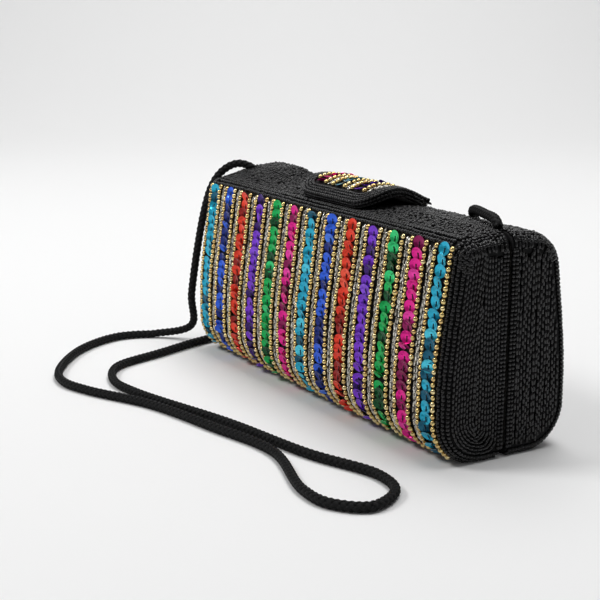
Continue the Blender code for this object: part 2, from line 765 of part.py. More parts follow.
def main():
    clear_scene()
    front = make_half("front")
    make_half("back")
    front.append(catch_plate(front[1]))
    front += striped_front()
    for end, centre in HINGE_CENTRES.items():
        front.append(hinge_leaf(f"front_hinge_leaf_{end}", "front", centre))
        hinge_leaf(f"back_hinge_leaf_{end}", "back", centre)
        hinge_pin(f"hinge_pin_{end}", centre)
    slip_pocket()
    strap()
    hang_on_pivot("front_half_pivot", (0.0, 0.0, HINGE_HEIGHT), front)
    hang_on_pivot("tab_pivot", TAB_HINGE, closure_tab())


main()
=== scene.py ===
"""The beaded clutch as it looks: every bead, sequin and strand of its cord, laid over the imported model."""

import math

import bpy
import numpy as np
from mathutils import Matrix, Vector


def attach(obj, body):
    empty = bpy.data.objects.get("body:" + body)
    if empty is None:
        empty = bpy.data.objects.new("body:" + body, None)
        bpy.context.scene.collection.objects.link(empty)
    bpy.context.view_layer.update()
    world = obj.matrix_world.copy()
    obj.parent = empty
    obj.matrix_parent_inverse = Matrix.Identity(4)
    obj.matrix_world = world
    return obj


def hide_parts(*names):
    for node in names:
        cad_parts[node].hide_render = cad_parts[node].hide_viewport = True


MM = 0.001

# The purse's outline, as in the model's source.
HALF_LENGTH = 103.0 * MM
HEIGHT = 88.0 * MM
DEPTH = {"front": 29.5 * MM, "back": 30.8 * MM}
SIGN = {"front": -1.0, "back": 1.0}
END_RADIUS = 5.0 * MM
TOP_EDGE_HEIGHT = 85.3 * MM
TOP_EDGE_SETBACK = 7.0 * MM
BULGE_HEIGHT = 38.0 * MM
BULGE_RADIUS = 200.0 * MM
TOP_RADIUS = {"front": 5.0 * MM, "back": 14.0 * MM}
BASE_RADIUS = 18.0 * MM
SMALLEST_RADIUS = 0.6 * MM
FLAT_REACH = HALF_LENGTH - END_RADIUS
SEAM_START = 0.9 * MM
COVER_THICKNESS = 2.1 * MM
BASE_SEAM_START = 1.9 * MM
BULGE_SETBACK = 0.2 * MM
OUTLINE_STEPS = (8, 6, 12)
PATH_STEPS = 20
PATH_SPANS = [[(0, 1), (1, 2), (2, 3)], [(0, 2), (1, 3)], [(1, 2)]]
LINE_POINTS = 240

# The left end of the top is padded and stands higher. LIFT_ACROSS says how much at each place behind the seam.
LIFT_FULL_X = -84.0 * MM
LIFT_END_X = -48.0 * MM
LIFT_LOW = 74.0 * MM
LIFT_BAND = 10.0 * MM
LIFT_ACROSS = (
    np.array([-25.0, -15.0, -3.0, 8.0, 17.0, 25.0, 31.0]) * MM,
    np.array([0.1, 0.5, 2.3, 4.6, 6.0, 4.6, 2.0]) * MM,
)

# Stripes on the front.
SEQUIN_STRINGS = 13
STRIPE_PITCH = 15.55 * MM
BEAD_FROM_SEQUIN = 4.6 * MM
STRIPE_TOP = 84.0 * MM
STRIPE_FOOT = 1.6 * MM
LOWEST_ROW = {"front": STRIPE_FOOT, "back": 1.2 * MM}
GOLD_RADIUS = 1.18 * MM
SEQUIN_ORDER = ["cyan", "blue", "red", "violet", "green", "pink"]

# Closure tab, as in the model's source.
TAB_HALF_WIDTH = 30.0 * MM
TAB_CORNER_RADIUS = 13.0 * MM
TAB_PATH = [
    (-16.2, 89.6), (-10.5, 93.0), (-4.0, 95.2), (2.0, 95.2), (8.0, 93.0), (13.0, 90.6), (17.5, 88.7),
]
TAB_SEQUIN_CENTRES = {"pink": -17.5 * MM, "cyan": -2.0 * MM, "violet": 13.5 * MM}
TAB_SILVER_CENTRES = (-9.75 * MM, 5.75 * MM, 21.2 * MM)

# Cord, as in the model's source.
CORD_RADIUS = 2.0 * MM
CORD_LOWEST = CORD_RADIUS + 0.05 * MM
CORD_ROUTE = [
    (-95.0, 0.6, 88.7), (-96.8, -1.7, 91.4), (-101.3, -7.0, 93.2), (-105.7, -12.9, 90.0),
    (-108.0, -19.5, 80.5), (-108.5, -31.0, 28.0), (-116.0, -28.0, 8.5), (-131.0, -41.5, 2.4),
    (-136.6, -60.0, 2.1), (-123.0, -86.0, 2.1), (-89.0, -110.6, 2.1), (-72.0, -113.8, 2.1),
    (-55.0, -108.9, 2.1), (-22.0, -93.0, 2.1), (18.0, -83.4, 2.1), (56.0, -76.2, 2.1),
    (97.0, -86.6, 2.1), (112.0, -85.2, 2.1), (122.4, -74.0, 2.1), (114.5, -58.6, 2.1),
    (98.5, -54.8, 2.1), (66.0, -65.6, 2.1), (18.0, -75.2, 2.1), (-42.0, -91.8, 2.1),
    (-63.0, -93.2, 2.1), (-84.0, -83.0, 2.1), (-96.0, -55.0, 2.1), (-109.0, -20.0, 2.1),
    (-111.4, 14.0, 2.1), (-90.0, 43.5, 2.1), (14.0, 41.0, 2.3), (44.0, 39.2, 5.0),
    (49.5, 35.4, 24.0), (50.2, 28.4, 76.0), (54.6, 20.2, 87.4), (64.5, 13.6, 90.8),
    (78.6, 7.4, 91.5), (87.6, 3.8, 91.7), (92.2, 1.8, 91.0), (95.0, 0.6, 89.2),
]

# Nothing but the cord is closer to the floor than this.
FLOOR_CLEARANCE = 0.05 * MM

# Camera.
CAMERA_PLACE = (461.7 * MM, -302.9 * MM, 171.5 * MM)
CAMERA_TARGET = (-51.93 * MM, 0.0, 31.45 * MM)
CAMERA_LENS = 75.6


# ---- Curves

def smooth_path(points, count):
    """Evenly spaced points on a smooth curve through the given ones (centripetal Catmull-Rom)."""
    points = [Vector(p) for p in points]
    padded = [points[0] * 2 - points[1]] + points + [points[-1] * 2 - points[-2]]
    fine = []
    for four in zip(padded, padded[1:], padded[2:], padded[3:]):
        knots = [0.0]
        for p, q in zip(four, four[1:]):
            knots.append(knots[-1] + math.sqrt((q - p).length))
        for step in range(PATH_STEPS):
            t = knots[1] + (knots[2] - knots[1]) * step / PATH_STEPS
            blend = four
            for spans in PATH_SPANS:
                pairs = zip(blend, blend[1:], spans)
                blend = [p.lerp(q, (t - knots[i]) / (knots[j] - knots[i])) for p, q, (i, j) in pairs]
            fine.append(blend[0])
    fine.append(points[-1])
    return resample(np.array([list(p) for p in fine]), count)


def lengths_along(points):
    steps = np.linalg.norm(np.diff(points, axis=0), axis=1)
    return np.concatenate([[0.0], np.cumsum(steps)])


def resample(points, count):
    travelled = lengths_along(points)
    targets = np.linspace(0.0, travelled[-1], count)
    return np.column_stack([np.interp(targets, travelled, points[:, k]) for k in range(points.shape[1])])


def at_length(points, values, targets):
    """values, given at the points of a line, read at these distances along it."""
    travelled = lengths_along(points)
    return np.column_stack([np.interp(targets, travelled, values[:, k]) for k in range(values.shape[1])])


def unit(vectors):
    return vectors / np.maximum(np.linalg.norm(vectors, axis=-1, keepdims=True), 1e-12)


def tangents_of(points):
    return unit(np.gradient(points, axis=0))


def along_line(line, facing, targets):
    """Places, normals and the line's own directions at these distances along it."""
    return (
        at_length(line, line, targets),
        unit(at_length(line, facing, targets)),
        unit(at_length(line, tangents_of(line), targets)),
    )


# ---- The outside of the purse

def inward(a, b):
    along = (b - a).normalized()
    return Vector((along.y, -along.x))


def meeting_point(a, b, c, d):
    first = b - a
    second = d - c
    share = (c - a).cross(second) / first.cross(second)
    return a + first * share


def outline(side, inset, start):
    """Points (depth, height) and outward normals along one half's outline, moved in by inset."""
    depth = DEPTH[side]
    corners = [
        Vector((0.0, HEIGHT)),
        Vector((depth - TOP_EDGE_SETBACK, TOP_EDGE_HEIGHT)),
        Vector((depth - BULGE_SETBACK, BULGE_HEIGHT)),
        Vector((depth, 0.0)),
        Vector((0.0, 0.0)),
    ]
    radii = [TOP_RADIUS[side], BULGE_RADIUS, BASE_RADIUS]
    edges = [(a + inward(a, b) * inset, b + inward(a, b) * inset) for a, b in zip(corners, corners[1:])]
    seam = (Vector((start, 0.0)), Vector((start, HEIGHT)))
    points = [meeting_point(*edges[0], *seam)]
    normals = [-inward(*edges[0])]
    for index, (radius, count) in enumerate(zip(radii, OUTLINE_STEPS)):
        before, after = edges[index], edges[index + 1]
        corner = meeting_point(*before, *after)
        radius = max(radius - inset, SMALLEST_RADIUS)
        first, last = inward(*before), inward(*after)
        centre = corner + (first + last).normalized() * radius / math.cos(first.angle(last) / 2)
        for step in range(count + 1):
            normal = first.slerp(last, step / count)
            points.append(centre - normal * radius)
            normals.append(-normal)
    points.append(meeting_point(*edges[-1], *seam))
    normals.append(-inward(*edges[-1]))
    return np.array([list(p) for p in points]), np.array([list(n) for n in normals])


def raised(places):
    """The places, lifted where the padding under the top's left end pushes the cover up."""
    x, y, z = places[:, 0], places[:, 1], places[:, 2]
    over_length = smooth_share((LIFT_END_X - x) / (LIFT_END_X - LIFT_FULL_X))
    over_height = smooth_share((z - LIFT_LOW) / LIFT_BAND)
    lift = np.interp(y, *LIFT_ACROSS) * over_length * over_height
    return np.column_stack([x, y, z + lift])


def smooth_share(share):
    share = np.clip(share, 0.0, 1.0)
    return share * share * (3 - 2 * share)


def in_space(side, x, flat):
    """Points of one half given as (depth, height), put at x along the purse."""
    return np.column_stack([np.broadcast_to(x, len(flat)), SIGN[side] * flat[:, 0], flat[:, 1]])


def on_wall(side, x, s, proud):
    """Places and outward normals on one half, at x along it and s round it from the top of the seam."""
    points, normals = outline(side, 0.0, SEAM_START)
    x, s = np.broadcast_arrays(x, s)
    normal = unit(at_length(points, normals, s))
    flat = at_length(points, points, s) + normal * proud
    return raised(in_space(side, x, flat)), in_space(side, 0.0, normal)


def distance_round(side, height):
    """How far round the wall from the top of the seam this height is, on the outer face."""
    points, _ = outline(side, 0.0, SEAM_START)
    travelled = lengths_along(points)
    lowest = np.argmax(points[:, 1] < height)
    share = (points[lowest - 1, 1] - height) / (points[lowest - 1, 1] - points[lowest, 1])
    return travelled[lowest - 1] + share * (travelled[lowest] - travelled[lowest - 1])


def end_turn(across):
    """The angle turned and the inset reached this far round from where the long wall starts to turn."""
    quarter = END_RADIUS * math.pi / 2
    angle = min(across, quarter) / END_RADIUS
    return angle, END_RADIUS * (1 - math.cos(angle)) + max(across - quarter, 0.0)


def end_line(side, end, across, start):
    """A line, with its normals, that follows the outline round one end of one half."""
    angle, inset = end_turn(across)
    x = end * (FLAT_REACH + END_RADIUS * math.sin(angle))
    points, normals = outline(side, inset, start)
    facing = in_space(side, 0.0, normals * math.cos(angle))
    facing[:, 0] = end * math.sin(angle)
    places = raised(in_space(side, x, points))
    targets = np.linspace(0.0, lengths_along(places)[-1], LINE_POINTS)
    return at_length(places, places, targets), unit(at_length(places, facing, targets))


def on_end(side, end, flat, proud):
    """Places and normals on the flat of an end for points given as (depth, height)."""
    return raised(in_space(side, end * (HALF_LENGTH + proud), flat)), np.tile([end, 0.0, 0.0], (len(flat), 1))


# ---- Meshes

def revolved(profile, sides):
    """Points and faces of a bead: a profile of (along, radius) turned about its thread."""
    angles = np.arange(sides) * 2 * math.pi / sides
    circle = np.column_stack([np.cos(angles), np.sin(angles)])
    points = np.vstack([np.insert(circle * radius, 0, along, axis=1) for along, radius in profile])
    faces = []
    for a in range(0, len(points) - sides, sides):
        for k in range(sides):
            after = (k + 1) % sides
            faces.append((a + k, a + sides + k, a + sides + after, a + after))
    faces.append(tuple(range(sides)))
    faces.append(tuple(reversed(range(len(points) - sides, len(points)))))
    return points, faces


def make_mesh(name, points, loops, sizes, material_index, materials, smooth=True):
    mesh = bpy.data.meshes.new(name)
    mesh.vertices.add(len(points))
    mesh.vertices.foreach_set("co", np.ascontiguousarray(points, np.float32).ravel())
    mesh.loops.add(len(loops))
    mesh.loops.foreach_set("vertex_index", np.ascontiguousarray(loops, np.int32))
    mesh.polygons.add(len(sizes))
    starts = np.concatenate([[0], np.cumsum(sizes)[:-1]])
    mesh.polygons.foreach_set("loop_start", starts.astype(np.int32))
    mesh.polygons.foreach_set("material_index", np.ascontiguousarray(material_index, np.int32))
    mesh.polygons.foreach_set("use_smooth", np.full(len(sizes), smooth))
    mesh.update(calc_edges=True)
    mesh.validate()
    for material in materials:
        mesh.materials.append(material)
    piece = bpy.data.objects.new(name, mesh)
    bpy.context.scene.collection.objects.link(piece)
    return piece


def mesh_of_faces(name, points, faces, kinds, materials, sharp_degrees):
    """A smooth piece with sharp edges where its faces meet at more than this angle."""
    loops = np.concatenate([np.array(face) for face in faces])
    sizes = np.array([len(face) for face in faces])
    piece = make_mesh(name, points, loops, sizes, kinds, materials)
    piece.data.set_sharp_from_angle(angle=math.radians(sharp_degrees))
    return piece


def settle(piece, body, node=None):
    """Puts a piece on its body, in place of the model's node where it has one."""
    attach(piece, body)
    if node:
        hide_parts(node)


class Batch:
    """Copies of small templates gathered into one mesh."""

    def __init__(self):
        self.points, self.loops, self.sizes, self.kinds = [], [], [], []
        self.count = 0

    def add(self, template, places, frames, kinds):
        points, faces = template
        copies = len(places)
        if copies == 0:
            return
        spread = places[:, None, :] + np.einsum("nij,vj->nvi", frames, points)
        loops = np.concatenate([np.array(face) for face in faces])
        sizes = np.array([len(face) for face in faces])
        offsets = self.count + np.arange(copies) * len(points)
        self.points.append(spread.reshape(-1, 3))
        self.loops.append((loops[None, :] + offsets[:, None]).ravel())
        self.sizes.append(np.tile(sizes, copies))
        self.kinds.append(np.repeat(np.broadcast_to(kinds, copies), len(faces)))
        self.count += copies * len(points)

    def finish(self, name, materials, smooth=True):
        points = np.vstack(self.points)
        points[:, 2] = np.maximum(points[:, 2], FLOOR_CLEARANCE)
        arrays = [np.concatenate(part) for part in (self.loops, self.sizes, self.kinds)]
        return make_mesh(name, points, *arrays, materials, smooth)


def frames_from(along, facing, scale=1.0):
    """3 x 3 frames whose first axis is the thread's direction and third the surface's normal."""
    along = unit(along - facing * np.sum(along * facing, axis=1, keepdims=True))
    across = np.cross(facing, along)
    frames = np.stack([along, across, facing], axis=2)
    return frames * np.reshape(scale, (-1, 1, 1))


def turned(frames, angle, axis):
    """Frames turned about one of their own axes (0 the thread, 1 across it, 2 the normal)."""
    first, second = [(1, 2), (2, 0), (0, 1)][axis]
    result = frames.copy()
    c = np.cos(angle)[:, None]
    s = np.sin(angle)[:, None]
    result[:, :, first] = frames[:, :, first] * c + frames[:, :, second] * s
    result[:, :, second] = frames[:, :, second] * c - frames[:, :, first] * s
    return result


def string_of(batch, kind, thread, rng, first=0.5):
    """Threads beads along a line on the surface, given with its normals."""
    shape, pitch, wander, spin, grow, tones = STRINGS[kind]
    pitch, wander = pitch * MM, wander * MM
    count = int((lengths_along(thread[0])[-1] - pitch * first) / pitch)
    if count < 1:
        return
    targets = (np.arange(count) + first) * pitch
    targets = targets + rng.normal(0.0, 1.0, count) * wander * 0.5
    places, normals, along = along_line(*thread, targets)
    frames = frames_from(along, normals, 1.0 + rng.normal(0.0, 1.0, count) * grow)
    frames = turned(frames, rng.normal(0.0, spin, count), 2)
    places = places + np.cross(normals, along) * (rng.normal(0.0, 1.0, count) * wander)[:, None]
    batch.add(SHAPES[shape], places, frames, rng.choice(tones, count))


# ---- Materials

def new_material(name, **sockets):
    material = bpy.data.materials.new(name)
    material.use_nodes = True
    shader = material.node_tree.nodes["Principled BSDF"]
    set_sockets(shader, **sockets)
    return material, material.node_tree, shader


def set_sockets(node, **values):
    for socket, value in values.items():
        node.inputs[socket.replace("_", " ")].default_value = value


def plain(name, colour, roughness, metallic=0.0, **sockets):
    return new_material(name, Base_Color=(*colour, 1.0), Roughness=roughness, Metallic=metallic, **sockets)[0]


def shades(name, colours, roughness, metallic=0.0, **sockets):
    return [plain(f"{name}_{k + 1}", tone, roughness, metallic, **sockets) for k, tone in enumerate(colours)]


def texture(tree, kind, **sockets):
    """A texture that is fixed to the object's own coordinates."""
    node = tree.nodes.new(f"ShaderNodeTex{kind}")
    where = tree.nodes.new("ShaderNodeTexCoord")
    tree.links.new(where.outputs["Object"], node.inputs["Vector"])
    set_sockets(node, **sockets)
    return node


def mottle(tree, shader, share, colour, contrast, paler=0.0):
    """Colours the shader between a darker and a paler tone of one colour."""
    ramp = tree.nodes.new("ShaderNodeValToRGB")
    ramp.color_ramp.elements[0].color = (*[c * (1 - contrast) for c in colour], 1.0)
    ramp.color_ramp.elements[1].color = (*[min(c * (1 + contrast) + paler, 1.0) for c in colour], 1.0)
    tree.links.new(share, ramp.inputs["Fac"])
    tree.links.new(ramp.outputs["Color"], shader.inputs["Base Color"])


def emboss(tree, shader, height, strength, distance):
    bump = tree.nodes.new("ShaderNodeBump")
    set_sockets(bump, Strength=strength, Distance=distance)
    tree.links.new(height, bump.inputs["Height"])
    tree.links.new(bump.outputs["Normal"], shader.inputs["Normal"])


CLOTH_CONTRAST = 0.35
CLOTH_PALER = 0.002


def woven(name, colour, thread, roughness, depth=0.25, sheen=0.0, specular=0.5):
    """Cloth whose threads cross at right angles, with slow changes of shade over it."""
    material, tree, shader = new_material(
        name, Roughness=roughness, Sheen_Weight=sheen, Specular_IOR_Level=specular
    )
    cross = tree.nodes.new("ShaderNodeMath")
    cross.operation = "MULTIPLY"
    for direction, socket in zip(("X", "Z"), cross.inputs):
        wave = texture(tree, "Wave", Scale=0.5 / thread, Distortion=0.4, Detail=1.0)
        wave.wave_type = "BANDS"
        wave.bands_direction = direction
        tree.links.new(wave.outputs["Fac"], socket)
    cloud = texture(tree, "Noise", Scale=60.0, Detail=4.0)
    mottle(tree, shader, cloud.outputs["Fac"], colour, CLOTH_CONTRAST, CLOTH_PALER)
    emboss(tree, shader, cross.outputs["Value"], depth, thread)
    return material


ROUGHNESS_SPREAD = 0.15
GRAIN_HEIGHT = 0.2 * MM


def speckled(name, colour, roughness, metallic, scale, contrast=0.25, depth=0.1):
    """A hard or pressed material with fine mottling in its colour, gloss and surface."""
    material, tree, shader = new_material(name, Metallic=metallic)
    noise = texture(tree, "Noise", Scale=scale, Detail=6.0)
    mottle(tree, shader, noise.outputs["Fac"], colour, contrast)
    spread = tree.nodes.new("ShaderNodeMapRange")
    set_sockets(
        spread,
        To_Min=max(roughness - ROUGHNESS_SPREAD, 0.05),
        To_Max=min(roughness + ROUGHNESS_SPREAD, 1.0),
    )
    tree.links.new(noise.outputs["Fac"], spread.inputs["Value"])
    tree.links.new(spread.outputs["Result"], shader.inputs["Roughness"])
    emboss(tree, shader, noise.outputs["Fac"], depth, GRAIN_HEIGHT)
    return material


# Foil colours: the usual tone, a darker one that is painted shade and a paler one that is painted highlight,
# for discs seen turned away from the light or catching it.
SEQUIN_TONES_LIT_AND_SHADED = {
    "cyan": [(0.02, 0.46, 0.68), (0.004, 0.11, 0.19), (0.08, 0.66, 0.86)],
    "blue": [(0.03, 0.13, 0.80), (0.007, 0.022, 0.20), (0.07, 0.22, 0.92)],
    "red": [(0.86, 0.05, 0.02), (0.32, 0.012, 0.008), (0.94, 0.10, 0.05)],
    "violet": [(0.20, 0.04, 0.66), (0.04, 0.008, 0.15), (0.28, 0.09, 0.82)],
    "green": [(0.004, 0.46, 0.10), (0.002, 0.08, 0.022), (0.03, 0.64, 0.20)],
    "pink": [(0.84, 0.01, 0.30), (0.26, 0.003, 0.09), (0.92, 0.05, 0.42)],
}


def make_materials():
    looks = {
        "gold": shades("gold_bead", [(0.78, 0.60, 0.25), (0.84, 0.69, 0.36), (0.68, 0.48, 0.20)], 0.18, 1.0),
        "silver": shades(
            "silver_bead", [(0.55, 0.53, 0.48), (0.34, 0.32, 0.29), (0.75, 0.73, 0.68)], 0.22, 0.85
        ),
        "black": shades(
            "black_bead", [(0.0035, 0.0035, 0.004), (0.006, 0.0055, 0.0055), (0.009, 0.009, 0.010)], 0.14,
            Specular_IOR_Level=0.38,
        ),
        "cloth": woven("black_cloth", (0.004, 0.004, 0.0045), 0.5 * MM, 0.85, specular=0.3),
        "satin": woven("black_satin", (0.014, 0.014, 0.016), 0.18 * MM, 0.38, depth=0.12, sheen=0.25),
        "base_cloth": woven("black_base_cloth", (0.010, 0.010, 0.011), 0.6 * MM, 0.75, sheen=0.1),
        "braid": woven("braided_cord", (0.004, 0.004, 0.0045), 0.35 * MM, 0.7, depth=0.4, specular=0.22),
        "board": speckled("pressed_board", (0.06, 0.055, 0.05), 0.85, 0.0, 900.0, depth=0.3),
        "steel": speckled("black_plated_steel", (0.16, 0.16, 0.17), 0.3, 1.0, 350.0, contrast=0.08),
        "magnet": speckled("nickel_magnet", (0.60, 0.59, 0.57), 0.22, 1.0, 500.0, contrast=0.06),
        "thread": plain("stitch_thread", (0.01, 0.01, 0.01), 0.7),
    }
    for colour, tones in SEQUIN_TONES_LIT_AND_SHADED.items():
        looks[colour] = shades(f"sequin_{colour}", tones, 0.17, 0.55)
    return looks


# ---- Beads

ROUND_ANGLES = np.radians([17, 40, 64, 90, 116, 140, 163])
ROUND_PROFILE = [(-math.cos(angle), math.sin(angle)) for angle in ROUND_ANGLES]


def bead_template(radius, half_length, sides, profile):
    return revolved([(x * half_length, r * radius) for x, r in profile], sides)


BARREL = [(-1.0, 0.45), (-0.62, 0.92), (0.62, 0.92), (1.0, 0.45)]
TUBE = [(-1.0, 0.66), (-0.86, 0.98), (0.86, 0.98), (1.0, 0.66)]
SHAPES = {
    "gold": bead_template(GOLD_RADIUS, GOLD_RADIUS * 0.96, 12, ROUND_PROFILE),
    "silver": bead_template(0.52 * MM, 1.25 * MM, 7, TUBE),
    "piping": bead_template(0.86 * MM, 0.78 * MM, 8, BARREL),
    "seed": bead_template(0.72 * MM, 0.70 * MM, 6, BARREL),
    "fine": bead_template(0.62 * MM, 1.12 * MM, 7, TUBE),
    "dash": bead_template(0.64 * MM, 1.36 * MM, 7, TUBE),
    "bugle": bead_template(0.66 * MM, 1.35 * MM, 8, TUBE),
}


def black_beads(batch, name, body):
    """Finishes a batch of black beads on this body."""
    settle(batch.finish(name, LOOKS["black"]), body)


# Each kind of string: what is threaded, the step from bead to bead and how far beads stray sideways (in mm),
# how far they turn and differ in size, and their mix of tones.
MIXED = (0, 0, 1, 2)
STRINGS = {
    "gold": ("gold", 2.46, 0.13, 0.2, 0.04, MIXED),
    "silver": ("silver", 2.62, 0.2, 0.24, 0.06, (3, 3, 4, 5)),
    "front_piping": ("piping", 1.76, 0.1, 0.14, 0.06, MIXED),
    "end_piping": ("piping", 1.64, 0.1, 0.14, 0.05, MIXED),
    "seam_row": ("piping", 1.64, 0.08, 0.12, 0.04, MIXED),
    "tab_border": ("piping", 1.64, 0.08, 0.12, 0.05, MIXED),
    "top_seam_row": ("seed", 1.48, 0.06, 0.3, 0.06, MIXED),
    "rounded_end": ("seed", 1.5, 0.24, 1.2, 0.07, MIXED),
    "back_row": ("seed", 1.78, 0.12, 0.16, 0.05, MIXED),
    "cap_middle": ("fine", 2.3, 0.1, 0.06, 0.0, (0, 1)),
    "cap_nested": ("fine", 2.26, 0.05, 0.04, 0.04, MIXED),
    "cap_upright": ("dash", 2.76, 0.12, 0.09, 0.06, MIXED),
    "base_edge": ("fine", 1.64, 0.05, 0.1, 0.0, (0, 1, 2)),
}

# How high the threads lie above the cloth.
SEQUIN_PROUD = 0.35 * MM
GOLD_PROUD = 0.95 * MM
SILVER_PROUD = 0.5 * MM
SEED_PROUD = 0.45 * MM
SEAM_PROUD = 0.35 * MM

SEQUIN_RADIUS = 2.7 * MM
SEQUIN_SIDES = 16
SEQUIN_MOULDS = 4
SEQUIN_PITCH = 4.0 * MM
SEQUIN_LEAN = 15.0
SEQUIN_ROLL = -14.0
SEQUIN_LIFT = 0.9 * MM
SEQUIN_CUP = 0.5 * MM
FOIL_THICKNESS = 0.09 * MM
RIM_RIPPLE = 0.035 * MM
LOOSE_SHARE = 0.12
LOOSE_LEAN = (-22.0, 18.0)
STITCH_RADIUS = 0.2 * MM
STITCH_HALF = 0.95 * MM
STITCH_SINK = 0.30 * MM
STITCH_LEAN = -7.0


def sequin_template(rng):
    """A cupped foil disc with a pierced centre and a rippled rim."""
    rings = [(0.15, -SEQUIN_CUP), (0.42, -SEQUIN_CUP), (0.74, -SEQUIN_CUP * 0.45), (1.0, 0.0)]
    sides = SEQUIN_SIDES
    points = []
    for share, lift in rings:
        for k in range(sides):
            angle = 2 * math.pi * k / sides
            ripple = rng.normal(0.0, RIM_RIPPLE) if share > 0.5 else 0.0
            radius = SEQUIN_RADIUS * share
            points.append((radius * math.cos(angle), radius * math.sin(angle), lift + ripple))
    top = np.array(points)
    count = len(top)
    rim = count - sides
    faces = []
    for k in range(sides):
        after = (k + 1) % sides
        for a in range(0, rim, sides):
            quad = (a + k, a + sides + k, a + sides + after, a + after)
            faces += [quad, tuple(index + count for index in reversed(quad))]
        faces.append((k, after, after + count, k + count))
        faces.append((rim + k + count, rim + after + count, rim + after, rim + k))
    return np.vstack([top, top - np.array([0.0, 0.0, FOIL_THICKNESS])]), faces


def sequin_string(name, thread, colour, rng, lift=SEQUIN_LIFT, roll_degrees=SEQUIN_ROLL):
    """Sequins sewn one over the next down a line, each with the stitch that holds it."""
    batch = Batch()
    count = int((lengths_along(thread[0])[-1] - SEQUIN_RADIUS * 1.2) / SEQUIN_PITCH)
    targets = SEQUIN_RADIUS * 0.8 + np.arange(count) * SEQUIN_PITCH + rng.normal(0.0, 0.28 * MM, count)
    places, normals, along = along_line(*thread, targets)
    lean = np.radians(rng.normal(SEQUIN_LEAN, 8.0, count))
    roll = np.radians(rng.normal(roll_degrees, 9.0, count))
    loose = rng.random(count) < LOOSE_SHARE
    lean = np.where(loose, lean + np.radians(rng.uniform(*LOOSE_LEAN, count)), lean)
    sewn = turned(turned(frames_from(along, normals), lean, 1), roll, 0)
    frames = turned(sewn, rng.uniform(0.0, 2 * math.pi, count), 2)
    places = places + normals * lift
    places = places + np.cross(normals, along) * rng.normal(0.0, 0.22 * MM, count)[:, None]
    # Painted light: most discs take the usual tone, some the darker painted-shade tone and a few the paler
    # painted-highlight tone, picked at random.
    kinds = rng.choice([0, 0, 0, 0, 0, 1, 1, 2], count)
    for k in range(SEQUIN_MOULDS):
        mine = np.arange(count) % SEQUIN_MOULDS == k
        batch.add(sequin_template(rng), places[mine], frames[mine], kinds[mine])
    stitch = bead_template(STITCH_RADIUS, STITCH_HALF, 5, [(-1.0, 0.9), (1.0, 0.9)])
    stitches = places + sewn[:, :, 0] * STITCH_HALF - sewn[:, :, 2] * STITCH_SINK
    batch.add(stitch, stitches, turned(sewn, np.full(count, math.radians(STITCH_LEAN)), 1), np.full(count, 3))
    return batch.finish(name, LOOKS[colour] + [LOOKS["thread"]], smooth=False)


SILVER_OFFSET = 0.68 * MM


def silver_strings(batch, middle, make_line, rng):
    """Two strings of short silver tubes that lean this way and that."""
    for side in (-1.0, 1.0):
        string_of(batch, "silver", make_line(middle + side * SILVER_OFFSET), rng, first=rng.uniform(0.1, 1.1))


STRIPE_DRIFT = 0.2 * MM
GOLD_DRIFT = 0.28 * MM


def front_stripes(rng):
    """The sequin strings, and the gold and silver strings between them."""
    s = np.linspace(distance_round("front", STRIPE_TOP), distance_round("front", STRIPE_FOOT), 120)

    def stripe_line(x, proud, bend):
        phase = rng.uniform(0.0, 2 * math.pi)
        drift = bend * np.sin(np.linspace(0.0, 3.0 * math.pi, len(s)) + phase)
        return on_wall("front", x + drift, s, proud)

    for index in range(SEQUIN_STRINGS):
        centre = (index - (SEQUIN_STRINGS - 1) / 2) * STRIPE_PITCH
        colour = SEQUIN_ORDER[index % len(SEQUIN_ORDER)]
        number = f"{index + 1:02d}_{colour}"
        thread = stripe_line(centre, SEQUIN_PROUD, STRIPE_DRIFT)
        piece = sequin_string(f"sequins_{number}", thread, colour, rng)
        settle(piece, "front_half", f"sequin_string_{number}")
    for index in range(SEQUIN_STRINGS + 1):
        middle = (index - SEQUIN_STRINGS / 2) * STRIPE_PITCH
        apart = STRIPE_PITCH / 2 - BEAD_FROM_SEQUIN
        golds = [middle - apart] * (index > 0) + [middle + apart] * (index < SEQUIN_STRINGS)
        batch = Batch()
        for x in golds:
            string_of(batch, "gold", stripe_line(x, GOLD_PROUD, GOLD_DRIFT), rng)
        if len(golds) == 2:
            silver_strings(batch, middle, lambda x: stripe_line(x, SILVER_PROUD, STRIPE_DRIFT), rng)
        piece = batch.finish(f"beads_band_{index + 1:02d}", LOOKS["gold"] + LOOKS["silver"])
        settle(piece, "front_half", f"bead_band_{index + 1:02d}")


ROW_WAVE = 17.0 * MM
SCATTER_START = 0.8 * MM
SCATTER_PITCH = 1.5 * MM
BACK_ROW_PITCH = 1.5 * MM


def wall_row(batch, kind, side, s, reach, rng, proud, wave=0.0):
    """A row of beads along a long wall, from end to end."""
    x = np.linspace(-reach, reach, 200)
    s = s + wave * np.sin(x / ROW_WAVE + rng.uniform(0.0, 6.0))
    string_of(batch, kind, on_wall(side, x, s, proud), rng)


